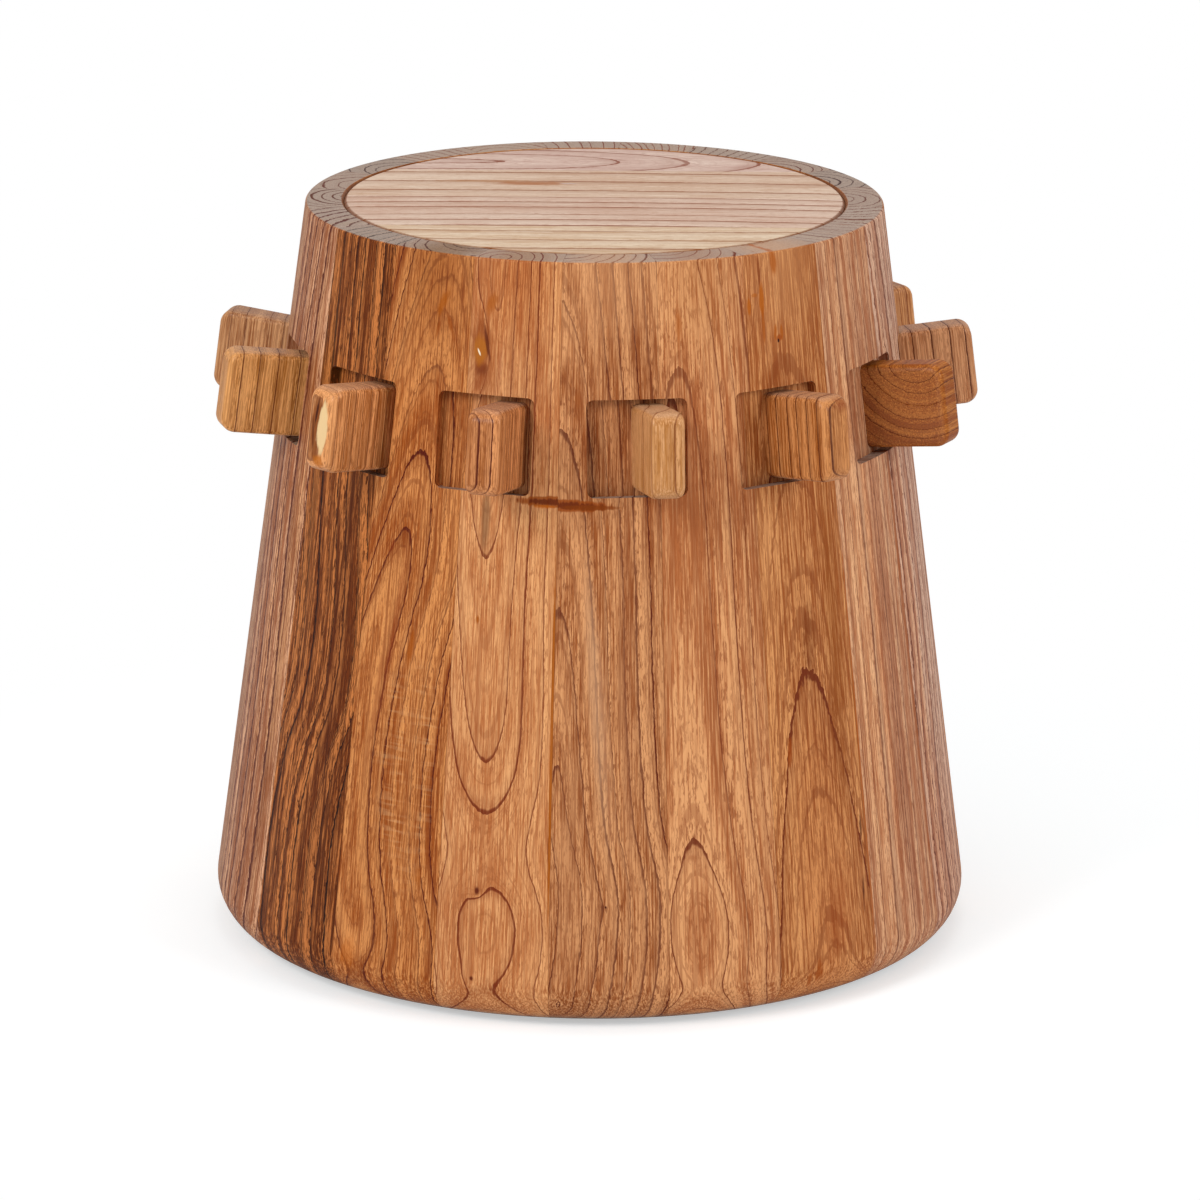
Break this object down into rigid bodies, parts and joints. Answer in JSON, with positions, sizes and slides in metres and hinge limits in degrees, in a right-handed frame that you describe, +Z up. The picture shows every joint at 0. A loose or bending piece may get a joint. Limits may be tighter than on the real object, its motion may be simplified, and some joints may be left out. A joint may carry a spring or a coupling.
{
  "type": "stool",
  "caption": "Drum-shaped wooden stool of glued vertical staves with an inset round seat and a ring of short blocks standing out of shallow recesses.",
  "frame": {"origin": "on the floor, on the axis of the drum", "axes": "+Z up along the drum's axis, -Y towards the front, +X to the right"},
  "size_m": [0.4668, 0.4667, 0.45],
  "materials": {
    "stave_tan": "oiled, satin, long grain upright",
    "stave_orange": "oiled, satin, long grain upright",
    "stave_brown": "oiled, satin, long grain upright",
    "block": "oiled, satin, eased edges",
    "seat": "oiled, matte to satin",
    "base": "bare, sanded",
    "felt": "pressed felt"
  },
  "bodies": {
    "root": {"stave_01": "stave_tan", "stave_02": "stave_orange", "stave_03": "stave_brown", "stave_04": "stave_tan", "stave_05": "stave_orange", "stave_06": "stave_brown", "stave_07": "stave_tan", "stave_08": "stave_orange", "stave_09": "stave_brown", "stave_10": "stave_tan", "stave_11": "stave_orange", "stave_12": "stave_brown", "stave_13": "stave_tan", "stave_14": "stave_orange", "stave_15": "stave_brown", "stave_16": "stave_tan", "stave_17": "stave_orange", "stave_18": "stave_brown", "stave_19": "stave_tan", "stave_20": "stave_orange", "block_01": "block", "block_02": "block", "block_03": "block", "block_04": "block", "block_05": "block", "block_06": "block", "block_07": "block", "block_08": "block", "block_09": "block", "block_10": "block", "block_11": "block", "block_12": "block", "block_13": "block", "seat_board_1": "seat", "seat_board_2": "seat", "seat_board_3": "seat", "seat_board_4": "seat", "base_board": "base", "felt_glides": "felt"}
  },
  "joints": []
}
